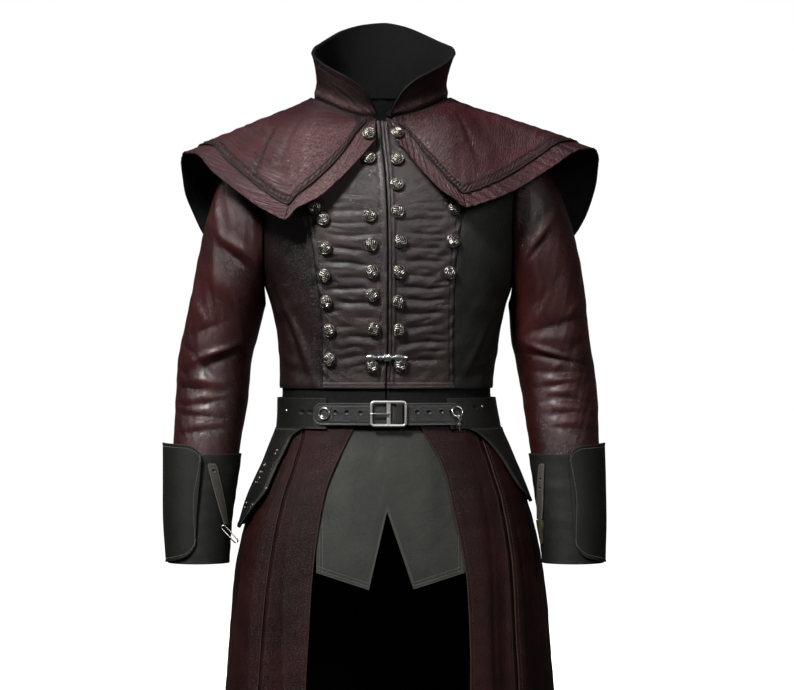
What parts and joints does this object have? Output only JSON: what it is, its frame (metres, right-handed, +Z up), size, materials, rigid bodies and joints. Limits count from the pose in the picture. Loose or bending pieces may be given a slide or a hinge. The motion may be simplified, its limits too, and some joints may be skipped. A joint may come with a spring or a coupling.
{
  "type": "medieval leather coat, worn form",
  "caption": "Worn leather coat: ruched button front, flared stand collar, two-layer shoulder cape, gauntlet cuffs, belt and open skirt over a notched apron.",
  "frame": {"origin": "at neck height inside the collar, where the wearer's shoulders carry the coat", "axes": "+Z up, the front of the coat faces -Y, +X is the wearer's left"},
  "size_m": [0.6384, 0.3683, 1.2367],
  "materials": {
    "maroon_leather": "semi-gloss, burnished",
    "dark_maroon_leather": "semi-gloss",
    "brown_leather": "semi-gloss",
    "black_leather": "satin",
    "grey_leather": "matt",
    "silver": "polished",
    "antique_silver": "engraved, darkened",
    "old_brass": "tarnished"
  },
  "bodies": {
    "coat": {"apron": "grey_leather", "back": "black_leather", "belt": "black_leather", "belt_loop": "black_leather", "belt_strap": "black_leather", "buckle": "silver", "buckle_prong": "silver", "button_inner_left_1": "antique_silver", "button_inner_left_2": "antique_silver", "button_inner_left_3": "antique_silver", "button_inner_left_4": "antique_silver", "button_inner_left_5": "antique_silver", "button_inner_left_6": "antique_silver", "button_inner_left_7": "antique_silver", "button_inner_left_8": "antique_silver", "button_inner_right_1": "antique_silver", "button_inner_right_2": "antique_silver", "button_inner_right_3": "antique_silver", "button_inner_right_4": "antique_silver", "button_inner_right_5": "antique_silver", "button_inner_right_6": "antique_silver", "button_inner_right_7": "antique_silver", "button_outer_left_1": "antique_silver", "button_outer_left_2": "antique_silver", "button_outer_left_3": "antique_silver", "button_outer_right_1": "antique_silver", "button_outer_right_2": "antique_silver", "button_outer_right_3": "antique_silver", "button_outer_right_4": "antique_silver", "button_outer_right_5": "antique_silver", "button_outer_right_6": "antique_silver", "cape_lower": "maroon_leather", "cape_upper": "maroon_leather", "clasp": "silver", "collar": "maroon_leather", "collar_facing": "black_leather", "cuff_flap_left": "grey_leather", "cuff_flap_right": "grey_leather", "cuff_left": "grey_leather", "cuff_right": "grey_leather", "cuff_strap_left": "grey_leather", "cuff_strap_right": "grey_leather", "cuff_tip_left": "old_brass", "front_left": "brown_leather", "front_right": "brown_leather", "hip_flap_left": "black_leather", "hip_flap_right": "black_leather", "side_front_left": "black_leather", "side_front_right": "dark_maroon_leather", "skirt_back_left": "maroon_leather", "skirt_back_right": "maroon_leather", "skirt_front_left": "maroon_leather", "skirt_front_right": "maroon_leather", "sleeve_left": "maroon_leather", "sleeve_right": "maroon_leather", "waistband": "black_leather"},
    "ring_right": {"belt_ring_right": "silver"},
    "ring_left": {"belt_ring_left": "silver"},
    "ring_clip": {"ring_clip": "silver"},
    "cuff_clip": {"cuff_clip_right": "silver"}
  },
  "joints": [
    {"name": "ring_right_swing", "type": "hinge", "parent": "coat", "child": "ring_right", "pos_m": [-0.0887, -0.09806, -0.43016], "axis": [0.9299, -0.3677, 0], "range_deg": [-70, 0]},
    {"name": "ring_left_swing", "type": "hinge", "parent": "coat", "child": "ring_left", "pos_m": [0.09876, -0.09387, -0.42819], "axis": [0.9076, 0.4198, 0], "range_deg": [-50, 4]},
    {"name": "ring_clip_swing", "type": "hinge", "parent": "ring_left", "child": "ring_clip", "pos_m": [0.10166, -0.10016, -0.44239], "axis": [0.9076, 0.4198, 0], "range_deg": [-30, 5]},
    {"name": "cuff_clip_swing", "type": "hinge", "parent": "coat", "child": "cuff_clip", "pos_m": [-0.23392, -0.07632, -0.5985], "axis": [0, 1, 0], "range_deg": [-30, 6]}
  ]
}
